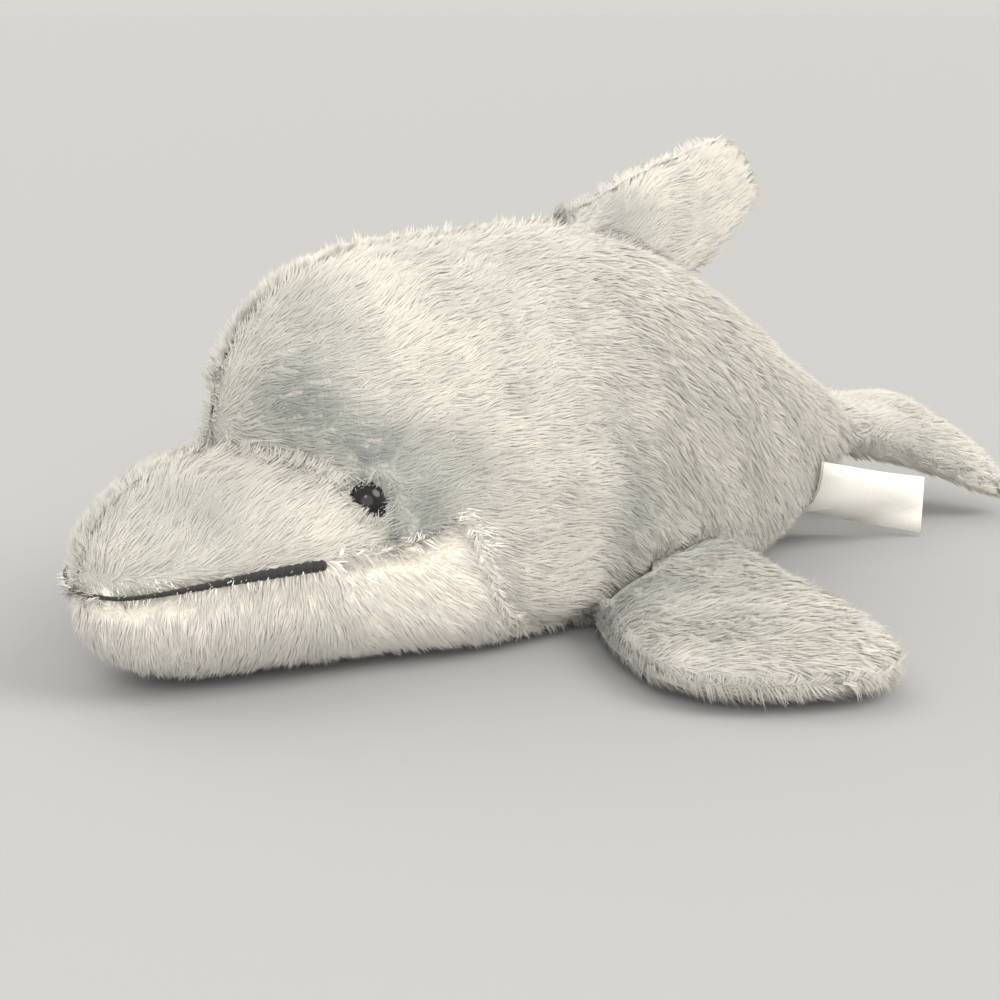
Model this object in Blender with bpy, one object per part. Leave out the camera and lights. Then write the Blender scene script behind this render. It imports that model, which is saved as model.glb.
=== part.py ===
"""Plush dolphin, lying on its belly: cut plush panels sewn round one filling, with sewn-on fins,
plastic eyes, a thread mouth and a folded ribbon label.

Metres, +Z up, nose towards -Y, the dolphin's own left side at +X. Places along the body are
measured back from the beak's tip, and heights from the table."""

import math
from bisect import bisect_right

import bpy
import bmesh
from mathutils import Matrix, Vector

# Cloth and sewing
PLUSH_THICK = 0.0040        # backing cloth with its pile, pressed
SEAM_GAP = 0.0003           # panels are eased apart by this where they are sewn
SEAM_DIP = 0.0014           # how far a seam draws the cloth in
FILLING_CLEAR = 0.0006      # between the panels and the filling

# Beak and mouth
BEAK_LENGTH = 0.046         # tip to crease along the centre seam
BEAK_HEIGHT = 0.070         # top of the beak at the crease
CREASE_LAG = 0.041          # how far back the crease runs on its way down to the cheek
CREASE_BOW = 1.3            # how round the crease is where it crosses the centre seam
CREASE_DIP = 0.003          # depth of the hollow that the crease and the eyes pull in
CREASE_WIDTH = 0.008        # half the width of that hollow
MOUTH_TIP_HEIGHT = 0.033
MOUTH_CORNER_HEIGHT = 0.040
MOUTH_CORNER_AT = 0.062     # place of the mouth's corner, measured along the side
MOUTH_DIP = 0.0024          # depth of the groove that the thread lies in
MOUTH_FADE = 0.012          # the groove runs out over this length behind the mouth's corner
THREAD_RADIUS = 0.0010
THREAD_RISE = 1.55          # the thread's middle lies this many radii above the groove's floor

# Head, trunk and tail stock
BACK_HEIGHT = 0.1275
TRUNK_WIDTH = 0.122
HEAD_WIDTH = 0.096          # across the cheeks, at the crease
CHEEK_TURN = 88.0           # degrees from the back seam to the white cheek's peak
BELLY_TURN = 143.0          # degrees from the back seam to the belly seam
TRUNK_FROM = 0.150          # rows of cloth stand upright from here to the tail
TAIL_ROOT_AT = 0.330
TAIL_ROOT_WIDTH = 0.033
TAIL_ROOT_TOP = 0.048
TAIL_ROOT_BOTTOM = 0.024
UPPER_FULLNESS = 2.05       # 2 is an ellipse, more is squarer
JAW_FULLNESS = 2.5
CHEST_FULLNESS = 4.2        # the filled belly spreads where it lies on the table

# Dorsal fin
FIN_ROOT_FRONT = 0.185
FIN_ROOT_BACK = 0.250
FIN_TIP_AT = 0.277
FIN_TIP_HEIGHT = 0.143
FIN_TIP_CHORD = 0.022
FIN_TIP_ROUND = 0.08        # share of the fin's height by which its tip's corners fall back
FIN_BULGE = 0.002           # the leading edge stands this far above a straight line
FIN_LEAD = 0.001            # and this far in front of it
FIN_HOLLOW = 0.004          # the trailing edge dips this far below a straight line
FIN_TIP_RAKE = 0.7          # the tip's cut is this steep
FIN_THICK = 0.020
ROOT_CLEAR = 0.0009         # from the smooth skin to the root of whatever is sewn on it

# Flippers
FLIPPER_ROOT_FRONT = 0.155
FLIPPER_ROOT_BACK = 0.212
FLIPPER_REACH = 0.153       # from the centre plane to the tip
FLIPPER_THICK = 0.018
FLIPPER_CLEAR = 0.0016      # from the smooth flank to the flipper's root
FLIPPER_REAR_LIFT = 0.021   # height of the trailing edge where it leaves the body
FLIPPER_TIP_ROUND = 0.006   # the tip's corners fall back by this

# Tail flukes
FLUKE_LENGTH = 0.058
FLUKE_END = TAIL_ROOT_AT + FLUKE_LENGTH
FLUKE_NOTCH = 0.012         # the trailing edge is cut in by this at the centre
FLUKE_NOTCH_HALF = 0.036    # half the width of that cut
FLUKE_SPAN = 0.102
FLUKE_DROOP = 0.028         # the tips lie this far below the tail's root
FLUKE_THICK = 0.023

# Rims of the two-layer fins
RIM_THICK = 0.0030          # half of a fin's rim
RIM_NOTCH = 0.0022          # how far the seam lies inside the rim
FIN_HALF = (0.02, 0.06)     # half chord and reach that the seam's inset is measured against
FLIPPER_HALF = (0.03, 0.10)
FLUKE_HALF = (0.03, 0.05)

# Eyes
EYE_WIDTH = 0.013
EYE_RISE = 0.0055
EYE_TURN = 58.0             # degrees from the back seam, along the crease
EYE_SEAT = 0.0012           # the dome's edge lies this far below the smooth skin
EYE_LEAN = (0.006, 0.010)   # the eye faces as the cloth does, on the mean of these before and behind
STEM_WIDTH = 0.0040
STEM_LENGTH = 0.0125
WASHER_WIDTH = 0.015
WASHER_THICK = 0.0018
STEM_CLEAR = 0.0003
WASHER_SEAT = PLUSH_THICK + CREASE_DIP * 0.9    # the washer bears on the cloth's inner side
CUTTER_PAST = 0.001         # cutters reach this far past what they cut
CUTTER_ABOVE = 0.008

# Ribbon label
LABEL_WIDTH = 0.022
LABEL_LENGTH = 0.048        # folded, outside the seam
LABEL_LEAF = 0.0005
LABEL_FOLD = 0.0006         # space between the two leaves
LABEL_AT = 0.286
LABEL_ROOT_HEIGHT = 0.0237  # middle of the end that is sewn in
LABEL_END_HEIGHT = 0.0125   # middle of the folded end
LABEL_SPLAY = 15.0          # degrees out from the body's length
LABEL_BOW = 0.004

# Grids of cloth
BEAK_ROWS = 8
TRUNK_ROWS = 24
SIDE_COLUMNS = 9
BELLY_COLUMNS = 12
CROWDING = 0.35             # columns crowd towards the seams by this share
LABEL_STEPS = 4
ROW_GROWTH = 1.35           # rows widen from the crease to the tail
FIN_GRID = (8, 8)           # steps out, and steps across
FLIPPER_GRID = (10, 8)
FLUKE_GRID = (8, 14)

MIDDLE = (FLUKE_END - SEAM_GAP) / 2
FULL_TURN = 2 * math.pi

# Smooth lines that the body is lofted through, as (place, value)
BACK_LINE = (
    (0.0, MOUTH_TIP_HEIGHT),
    (0.004, 0.046),
    (0.014, 0.058),
    (0.028, 0.066),
    (BEAK_LENGTH, BEAK_HEIGHT),
    (BEAK_LENGTH + 0.0012, BEAK_HEIGHT + 0.014),
    (BEAK_LENGTH + 0.006, 0.096),
    (BEAK_LENGTH + 0.018, 0.1105),
    (BEAK_LENGTH + 0.034, 0.1205),
    (0.105, BACK_HEIGHT - 0.001),
    (0.130, BACK_HEIGHT),
    (0.175, BACK_HEIGHT + 0.001),
    (0.217, 0.119),
    (0.252, 0.100),
    (0.290, 0.073),
    (TAIL_ROOT_AT, TAIL_ROOT_TOP),
)
WIDEST_LINE = (
    (0.0, MOUTH_TIP_HEIGHT),
    (MOUTH_CORNER_AT, MOUTH_CORNER_HEIGHT),
    (BEAK_LENGTH + CREASE_LAG, MOUTH_CORNER_HEIGHT),
    (0.110, 0.047),
    (0.200, 0.046),
    (TAIL_ROOT_AT, (TAIL_ROOT_TOP + TAIL_ROOT_BOTTOM) / 2),
)
UNDER_LINE = (
    (0.0, MOUTH_TIP_HEIGHT),
    (0.003, 0.020),
    (0.010, 0.010),
    (0.022, 0.003),
    (0.040, 0.0),
    (0.080, -0.001),
    (0.150, -0.0015),
    (0.230, -0.001),
    (0.258, 0.003),
    (0.290, 0.011),
    (TAIL_ROOT_AT, TAIL_ROOT_BOTTOM),
)
WIDTH_LINE = (
    (0.0, 0.0),
    (0.002, 0.009),
    (0.010, 0.020),
    (0.028, 0.031),
    (MOUTH_CORNER_AT, 0.044),
    (BEAK_LENGTH + CREASE_LAG, HEAD_WIDTH / 2),
    (0.110, 0.056),
    (0.145, TRUNK_WIDTH / 2),
    (0.190, TRUNK_WIDTH / 2),
    (0.250, 0.050),
    (0.300, 0.029),
    (TAIL_ROOT_AT, TAIL_ROOT_WIDTH / 2),
)
SEAM_LINE = (
    (0.0, 90.0),
    (BEAK_LENGTH + CREASE_LAG, 90.0),
    (0.106, CHEEK_TURN),
    (0.137, BELLY_TURN),
    (TAIL_ROOT_AT, BELLY_TURN - 10.0),
)
LOWER_FULLNESS_LINE = (
    (0.060, JAW_FULLNESS),
    (0.120, CHEST_FULLNESS),
    (0.220, CHEST_FULLNESS),
    (TAIL_ROOT_AT, 2.2),
)
# Paddle of a flipper, as (share of the reach, value)
FLIPPER_LEAD_LINE = ((0.0, FLIPPER_ROOT_FRONT), (0.3, 0.138), (0.6, 0.131), (0.85, 0.144), (1.0, 0.170))
FLIPPER_TRAIL_LINE = ((0.0, FLIPPER_ROOT_BACK), (0.5, 0.210), (0.85, 0.203), (1.0, 0.194))
FLUKE_SIDE_LINE = ((0.0, TAIL_ROOT_WIDTH / 2), (0.15, 0.024), (0.5, 0.039), (0.82, FLUKE_SPAN / 2), (1.0, 0.047))


def through(points, at):
    """Value at a place on a smooth line through points, which never overshoots them."""
    last = len(points) - 2
    k = min(max(bisect_right(points, (at, math.inf)) - 1, 0), last)
    slopes = [(b[1] - a[1]) / (b[0] - a[0]) for a, b in zip(points, points[1:])]

    def tangent(i):
        if i == 0 or i > last:
            return slopes[min(i, last)]
        before, after = slopes[i - 1], slopes[i]
        return 2 * before * after / (before + after) if before * after > 0 else 0.0

    (x0, y0), (x1, y1) = points[k], points[k + 1]
    span = x1 - x0
    t = min(max((at - x0) / span, 0.0), 1.0)
    return (
        y0 * (1 + 2 * t) * (1 - t) ** 2
        + y1 * t * t * (3 - 2 * t)
        + span * t * (1 - t) * (tangent(k) * (1 - t) - tangent(k + 1) * t)
    )


def lag(row):
    """How far a row's side lies behind its top: most at the crease, and none at the tip or the trunk."""
    if row < BEAK_LENGTH:
        return CREASE_LAG * row / BEAK_LENGTH
    share = min((row - BEAK_LENGTH) / (TRUNK_FROM - BEAK_LENGTH), 1.0)
    return CREASE_LAG * (1 - share * share * (3 - 2 * share))


def side_place(row):
    """Place along the body of a row's lower half."""
    return row + lag(row)


def smooth_skin(row, turn):
    """Point of the body's smooth outer surface: a row's place on the back seam, a turn from there."""
    side = side_place(row)
    half = through(WIDTH_LINE, side)
    widest = through(WIDEST_LINE, side)
    upper = math.cos(turn) >= 0
    fullness = UPPER_FULLNESS if upper else through(LOWER_FULLNESS_LINE, side)
    out = abs(math.sin(turn)) ** (2 / fullness)
    up = abs(math.cos(turn)) ** (2 / fullness)
    if upper:
        place = row + lag(row) * out ** CREASE_BOW
        height = widest + (through(BACK_LINE, row) - widest) * up
    else:
        place = side
        height = widest - (widest - through(UNDER_LINE, side)) * up
    return Vector((math.copysign(half * out, math.sin(turn)), place, max(height, 0.0)))


def skin_normal(row, turn):
    """Outward direction of the smooth surface."""
    if row < 0.0005:
        return Vector((0, -1, 0))
    row_step, turn_step = 0.0008, 0.02
    along = smooth_skin(min(row + row_step, TAIL_ROOT_AT), turn) - smooth_skin(row - row_step / 2, turn)
    around = smooth_skin(row, turn + turn_step) - smooth_skin(row, turn - turn_step)
    return around.cross(along).normalized()


def skin(row, turn, depth=0.0):
    """Point below the smooth surface by a depth, with the hollow that the crease pulls in."""
    from_crease = (row - BEAK_LENGTH) / CREASE_WIDTH
    pull = CREASE_DIP * math.exp(-from_crease ** 2) * math.sin(turn) ** 2
    if math.cos(turn) < 0:
        pull *= max(1 + math.cos(turn) * 3, 0.0)
    return smooth_skin(row, turn) - skin_normal(row, turn) * (depth + pull)


def row_place(k):
    """Place on the back seam of a row of the cloth's grid, which has the crease as one row."""
    if k <= BEAK_ROWS:
        share = k / BEAK_ROWS
        return BEAK_LENGTH * share * (0.35 + 1.3 * share - 0.65 * share * share)
    return BEAK_LENGTH + (TAIL_ROOT_AT - BEAK_LENGTH) * ((k - BEAK_ROWS) / TRUNK_ROWS) ** ROW_GROWTH


def seam_turn(row):
    """Turn from the back seam at which the upper panels meet the white one."""
    return math.radians(through(SEAM_LINE, side_place(row)))


def crowd(share):
    """A share from 0 to 1, with its steps crowded towards both ends, where seams draw the cloth in."""
    return share - CROWDING * math.sin(FULL_TURN * share) / FULL_TURN


def mouth_depth(row):
    """Depth of the groove between the beak and the jaw, which fades behind the mouth's corner."""
    past = (side_place(row) - MOUTH_CORNER_AT) / MOUTH_FADE
    return SEAM_DIP + (MOUTH_DIP - SEAM_DIP) * min(max(1 - past, 0.0), 1.0)


def slab(rows, columns):
    """Flat grid of cloth, one unit thick: x counts rows, y counts columns, z is 0 outside."""
    bm = bmesh.new()
    bmesh.ops.create_grid(bm, x_segments=rows, y_segments=columns, size=0.5)
    bmesh.ops.translate(bm, verts=bm.verts, vec=(0.5, 0.5, 0))
    bmesh.ops.scale(bm, verts=bm.verts, vec=(rows, columns, 1))
    inner = bmesh.ops.extrude_face_region(bm, geom=bm.faces[:])["geom"]
    inner = [part for part in inner if isinstance(part, bmesh.types.BMVert)]
    bmesh.ops.translate(bm, verts=inner, vec=(0, 0, 1))
    return bm


def wrap(bm, place):
    """Move each vertex of a flat slab to its place in the dolphin, and close its points up."""
    for vert in bm.verts:
        column, row, layer = vert.co.y, vert.co.x, vert.co.z
        vert.co = place(round(row), round(column), round(layer))
    bmesh.ops.remove_doubles(bm, verts=bm.verts, dist=0.00001)
    bmesh.ops.triangulate(bm, faces=bm.faces, quad_method="SHORT_EDGE")
    return bm


def finish(name, bm, material, smooth=True):
    """Turn a bmesh in the body's own places into a named object, centred on the table."""
    bmesh.ops.translate(bm, verts=bm.verts, vec=(0, -MIDDLE, 0))
    bmesh.ops.recalc_face_normals(bm, faces=bm.faces)
    mesh = bpy.data.meshes.new(name)
    bm.to_mesh(mesh)
    bm.free()
    if smooth:
        mesh.shade_smooth()
        mesh.set_sharp_from_angle(angle=math.radians(50))
    mesh.materials.append(material)
    obj = bpy.data.objects.new(name, mesh)
    bpy.context.scene.collection.objects.link(obj)
    return obj


def finish_colour(name, colour, roughness, metallic=0.0):
    """Plain Principled material."""
    material = bpy.data.materials.new(name)
    material.use_nodes = True
    shader = material.node_tree.nodes["Principled BSDF"]
    shader.inputs["Base Color"].default_value = (*colour, 1)
    shader.inputs["Roughness"].default_value = roughness
    shader.inputs["Metallic"].default_value = metallic
    return material


def cut(target, cutter):
    """Take a hidden cutter's shape out of a piece."""
    cutter.hide_render = True
    cutter.display_type = "WIRE"
    hole = target.modifiers.new(cutter.name, "BOOLEAN")
    hole.object = cutter
    hole.operation = "DIFFERENCE"


def upper_panel(name, first, last, side, ease, material):
    """Plush panel from the centre seam down to the belly seam, between two rows of the grid."""

    def place(k, j, layer):
        row = row_place(k + first)
        turn = seam_turn(row) * crowd(j / SIDE_COLUMNS)
        if layer:
            depth = PLUSH_THICK
        elif j == SIDE_COLUMNS:
            depth = mouth_depth(row)
        else:
            depth = SEAM_DIP if j == 0 or k in (0, last - first) else 0.0
        if not layer and row == 0:
            depth = MOUTH_DIP
        return skin(row, side * turn, depth) + Vector((side * SEAM_GAP / 2, ease, SEAM_GAP))

    return finish(name, wrap(slab(last - first, SIDE_COLUMNS), place), material)


def belly_panel(material):
    """White panel of jaw, cheeks and belly, from one belly seam round to the other."""

    def place(k, j, layer):
        row = row_place(k)
        start = seam_turn(row)
        turn = start + (FULL_TURN - 2 * start) * crowd(j / BELLY_COLUMNS)
        depth = PLUSH_THICK if layer else 0.0
        if not layer and j in (0, BELLY_COLUMNS):
            depth = mouth_depth(row)
        if not layer and row == 0:
            depth = MOUTH_DIP
        return skin(row, turn, depth)

    return finish("belly_panel", wrap(slab(BEAK_ROWS + TRUNK_ROWS, BELLY_COLUMNS), place), material)


def filling(material):
    """Polyester filling, which fills the sewn skin from the beak to the tail's root."""
    around = 2 * SIDE_COLUMNS + BELLY_COLUMNS
    bm = bmesh.new()
    rows = BEAK_ROWS + TRUNK_ROWS
    bmesh.ops.create_grid(bm, x_segments=rows, y_segments=around, size=0.5)
    bmesh.ops.translate(bm, verts=bm.verts, vec=(0.5, 0.5, 0))
    bmesh.ops.scale(bm, verts=bm.verts, vec=(rows, around, 1))

    def place(k, j, layer):
        row = row_place(k)
        start = seam_turn(row)
        if j <= SIDE_COLUMNS:
            turn = start * crowd(j / SIDE_COLUMNS)
        elif j <= SIDE_COLUMNS + BELLY_COLUMNS:
            turn = start + (FULL_TURN - 2 * start) * crowd((j - SIDE_COLUMNS) / BELLY_COLUMNS)
        else:
            turn = -start * crowd((around - j) / SIDE_COLUMNS)
        return skin(row, turn, PLUSH_THICK + FILLING_CLEAR)

    wrap(bm, place)
    bmesh.ops.holes_fill(bm, edges=bm.edges, sides=0)
    return finish("filling", bm, material)


def layered_fin(name, place, grid, material, side):
    """One of the two plush layers of a fin: flat on the seam's side, puffed on the other."""
    steps, ribs = grid

    def fin_place(k, j, layer):
        out, across = k / steps, 2 * crowd(j / ribs) - 1
        if layer:
            return place(out, across, side * SEAM_GAP / 2, RIM_NOTCH)
        swell = (1 - across ** 4) ** 0.5 * (1 - out ** 6) ** 0.5
        return place(out, across, side * (SEAM_GAP / 2 + RIM_THICK + swell), 0.0)

    return finish(name, wrap(slab(steps, ribs), fin_place), material)


def back_height(place, x):
    """Height of the smooth back at a distance from the centre plane, behind the head."""
    half = through(WIDTH_LINE, place)
    widest = through(WIDEST_LINE, place)
    up = (1 - min(abs(x) / half, 1.0) ** UPPER_FULLNESS) ** (1 / UPPER_FULLNESS)
    return widest + (through(BACK_LINE, place) - widest) * up


def flank_width(place, z):
    """Distance of the smooth flank from the centre plane, behind the head."""
    half = through(WIDTH_LINE, place)
    widest = through(WIDEST_LINE, place)
    top, under = through(BACK_LINE, place), through(UNDER_LINE, place)
    if z >= widest:
        share, fullness = (z - widest) / (top - widest), UPPER_FULLNESS
    else:
        share, fullness = (widest - z) / (widest - under), through(LOWER_FULLNESS_LINE, place)
    return half * (1 - min(share, 1.0) ** fullness) ** (1 / fullness)


def fin_point(out, across, lift, inset):
    """Point of the dorsal fin: out from the back, across from leading to trailing edge, lift sideways."""
    swell = abs(lift) - SEAM_GAP / 2 - RIM_THICK
    if swell > 0:
        thick = RIM_THICK + swell * (FIN_THICK / 2 - RIM_THICK)
        lift = math.copysign(SEAM_GAP / 2 + thick, lift)
    across *= 1 - inset / FIN_HALF[0]
    out *= (1 - inset / FIN_HALF[1]) * (1 - FIN_TIP_ROUND * across * across)
    share = (across + 1) / 2
    root = FIN_ROOT_FRONT + (FIN_ROOT_BACK - FIN_ROOT_FRONT) * share
    tip = FIN_TIP_AT + FIN_TIP_CHORD * (share - 0.5) * FIN_TIP_RAKE
    tip_height = FIN_TIP_HEIGHT - FIN_TIP_CHORD * (share - 0.5)
    place = root + (tip - root) * out
    root_height = back_height(root, lift) + ROOT_CLEAR
    height = root_height + (tip_height - root_height) * out
    height += math.sin(math.pi * out) * (FIN_BULGE * (1 - share) - FIN_HOLLOW * share)
    place -= FIN_LEAD * math.sin(math.pi * out) * (1 - share)
    return Vector((lift, place, height))


def flipper_point(hand):
    """Function that gives the points of one flipper, on the left for 1 and on the right for -1."""

    def point(out, across, lift, inset):
        swell = abs(lift) - SEAM_GAP / 2 - RIM_THICK
        if swell > 0:
            thick = RIM_THICK + swell * (FLIPPER_THICK / 2 - RIM_THICK)
            lift = math.copysign(SEAM_GAP / 2 + thick, lift)
        across *= 1 - inset / FLIPPER_HALF[0]
        out *= 1 - inset / FLIPPER_HALF[1]
        share = (across + 1) / 2
        lead, trail = through(FLIPPER_LEAD_LINE, out), through(FLIPPER_TRAIL_LINE, out)
        place = lead + (trail - lead) * share
        rear = FLIPPER_REAR_LIFT + (FLIPPER_THICK / 2 - FLIPPER_REAR_LIFT) * out
        front = FLIPPER_THICK / 2
        z = max(front + (rear - front) * share + lift, SEAM_GAP)
        flank = flank_width(place, z)
        level = flank_width((FLIPPER_ROOT_FRONT + FLIPPER_ROOT_BACK) / 2, FLIPPER_THICK / 2)
        reach = FLIPPER_REACH - level - FLIPPER_TIP_ROUND * across * across * out
        x = flank + (level - flank) * out + FLIPPER_CLEAR + reach * out
        return Vector((hand * x, place, z))

    return point


def fluke_point(out, across, lift, inset):
    """Point of the flukes: out from the tail's root, across from right to left, lift upwards."""
    swell = abs(lift) - SEAM_GAP / 2 - RIM_THICK
    root_half = (TAIL_ROOT_TOP - TAIL_ROOT_BOTTOM) / 2 - SEAM_GAP
    if swell > 0:
        grown = RIM_THICK + swell * ((FLUKE_THICK / 2 - RIM_THICK) * out + (root_half - RIM_THICK) * (1 - out))
        lift = math.copysign(SEAM_GAP / 2 + grown, lift)
    across *= 1 - inset / FLUKE_HALF[0]
    out *= 1 - inset / FLUKE_HALF[1]
    x = across * through(FLUKE_SIDE_LINE, out)
    end = FLUKE_END - FLUKE_NOTCH * (1 - min(abs(x) / FLUKE_NOTCH_HALF, 1.0) ** 1.5)
    start = TAIL_ROOT_AT + 2 * SEAM_GAP
    place = start + (end - start) * out
    middle = (TAIL_ROOT_TOP + TAIL_ROOT_BOTTOM) / 2
    droop = FLUKE_DROOP * min(abs(x) / (FLUKE_SPAN / 2), 1.0) ** 1.3 * out ** 0.5
    return Vector((x, place, max(middle - droop + lift, SEAM_GAP)))


def eye_frame(side):
    """Matrix whose +Z is an eye's axis, with its origin on the smooth skin at the crease."""
    turn = side * math.radians(EYE_TURN)
    at = skin(BEAK_LENGTH, turn)
    before, after = skin_normal(BEAK_LENGTH - EYE_LEAN[0], turn), skin_normal(BEAK_LENGTH + EYE_LEAN[1], turn)
    axis = (before + after).normalized()
    at.y -= MIDDLE
    return Matrix.Translation(at) @ axis.to_track_quat("Z", "Y").to_matrix().to_4x4()


def turned(name, profile, frame, material, steps=16):
    """Body of revolution from an outline of (radius, height), in an eye's frame."""
    bm = bmesh.new()
    verts = [bm.verts.new((radius, 0, height)) for radius, height in profile]
    edges = [bm.edges.new(pair) for pair in zip(verts, verts[1:])]
    bmesh.ops.spin(
        bm, geom=verts + edges, axis=(0, 0, 1), cent=(0, 0, 0), angle=FULL_TURN, steps=steps, use_merge=True
    )
    bmesh.ops.remove_doubles(bm, verts=bm.verts, dist=0.000001)
    bmesh.ops.transform(bm, matrix=frame, verts=bm.verts)
    bmesh.ops.translate(bm, verts=bm.verts, vec=(0, MIDDLE, 0))
    return finish(name, bm, material)


def eye(name, frame, material):
    """Plastic eye: a glossy dome on a flat back, with the stem that pushes through the cloth."""
    profile = []
    for k in range(7):
        angle = math.pi / 2 * k / 6
        profile.append((EYE_WIDTH / 2 * math.sin(angle), EYE_RISE * math.cos(angle) - EYE_SEAT))
    stem = STEM_WIDTH / 2
    profile += [(stem, -EYE_SEAT), (stem, -STEM_LENGTH + stem / 2), (stem / 2, -STEM_LENGTH), (0, -STEM_LENGTH)]
    return turned(name, profile, frame, material)


def washer(name, frame, material):
    """Locking washer, pushed up the stem against the cloth's inner side."""
    hole = STEM_WIDTH / 2 + STEM_CLEAR
    top = -WASHER_SEAT
    low = top - WASHER_THICK
    profile = [(hole, top), (WASHER_WIDTH / 2, top), (WASHER_WIDTH / 2, low), (hole, low), (hole, top)]
    return turned(name, profile, frame, material)



def hidden_cylinder(name, radius, top, low, frame):
    """Cutter on an eye's axis."""
    bm = bmesh.new()
    bmesh.ops.create_cone(
        bm, cap_ends=True, segments=24, radius1=radius, radius2=radius, depth=top - low,
        matrix=Matrix.Translation((0, 0, (top + low) / 2)),
    )
    bmesh.ops.transform(bm, matrix=frame, verts=bm.verts)
    mesh = bpy.data.meshes.new(name)
    bm.to_mesh(mesh)
    bm.free()
    obj = bpy.data.objects.new(name, mesh)
    bpy.context.scene.collection.objects.link(obj)
    return obj


def mouth_thread(material):
    """Black thread stitched along the groove from one mouth corner round the tip to the other."""
    seat = (THREAD_RADIUS + SEAM_GAP) * THREAD_RISE
    rows = [row_place(k) for k in range(BEAK_ROWS) if side_place(row_place(k)) < MOUTH_CORNER_AT - 0.003]
    corner = MOUTH_CORNER_AT / (1 + CREASE_LAG / BEAK_LENGTH)
    rows.append(corner)
    path = []
    for side in (-1, 1):
        half = [skin(row, side * seam_turn(row), MOUTH_DIP - seat) for row in rows[1:]]
        path.append(half)
    tip = skin(0.0, 0.0, MOUTH_DIP - seat)
    points = path[0][::-1] + [tip] + path[1]
    curve = bpy.data.curves.new("mouth_thread", "CURVE")
    curve.dimensions = "3D"
    curve.bevel_depth = THREAD_RADIUS
    curve.bevel_resolution = 2
    curve.use_fill_caps = True
    spline = curve.splines.new("POLY")
    spline.points.add(len(points) - 1)
    for knot, point in zip(spline.points, points):
        knot.co = (point.x, point.y - MIDDLE, point.z + SEAM_GAP / 2, 1)
    curve.materials.append(material)
    obj = bpy.data.objects.new("mouth_thread", curve)
    bpy.context.scene.collection.objects.link(obj)
    return obj


def ribbon_label(material):
    """Satin ribbon folded once, both ends sewn into the left belly seam near the tail."""
    half_gap = LABEL_FOLD / 2
    outer = half_gap + LABEL_LEAF
    outline = [(0, outer), (LABEL_LENGTH - outer, outer)]
    for k in range(1, 4):
        angle = math.pi * k / 4
        outline.append((LABEL_LENGTH - outer + outer * math.sin(angle), outer * math.cos(angle)))
    outline += [(LABEL_LENGTH - outer, -outer), (0, -outer)]
    outline += [(0, -half_gap), (LABEL_LENGTH - outer, -half_gap)]
    outline += [(LABEL_LENGTH - outer + half_gap, 0), (LABEL_LENGTH - outer, half_gap), (0, half_gap)]
    splay = math.radians(LABEL_SPLAY)
    along = Vector((math.sin(splay), math.cos(splay), 0))
    across = Vector((math.cos(splay), -math.sin(splay), 0))
    bm = bmesh.new()
    face = bm.faces.new([bm.verts.new((x, y, 0)) for x, y in outline])
    up = bmesh.ops.extrude_face_region(bm, geom=[face])["geom"]
    up = [part for part in up if isinstance(part, bmesh.types.BMVert)]
    bmesh.ops.translate(bm, verts=up, vec=(0, 0, LABEL_WIDTH))
    for step in range(1, LABEL_STEPS):
        for size, direction in ((LABEL_LENGTH, Vector((1, 0, 0))), (LABEL_WIDTH, Vector((0, 0, 1)))):
            geom = bm.verts[:] + bm.edges[:] + bm.faces[:]
            at = direction * size * step / LABEL_STEPS
            bmesh.ops.bisect_plane(bm, geom=geom, plane_co=at, plane_no=direction)
    end_width = flank_width(LABEL_AT, LABEL_ROOT_HEIGHT) + ROOT_CLEAR + outer
    for vert in bm.verts:
        x, y, z = vert.co
        share = x / LABEL_LENGTH
        height = LABEL_END_HEIGHT + (LABEL_ROOT_HEIGHT - LABEL_END_HEIGHT) * (1 - share) + z - LABEL_WIDTH / 2
        root_width = flank_width(LABEL_AT, height) + ROOT_CLEAR + outer
        width = root_width + (end_width - root_width) * share
        bow = LABEL_BOW * math.sin(math.pi * share)
        vert.co = Vector((width, LABEL_AT, height)) + along * x + across * (y + bow)
    bmesh.ops.triangulate(bm, faces=bm.faces)
    return finish("sewn_label", bm, material)


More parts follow.
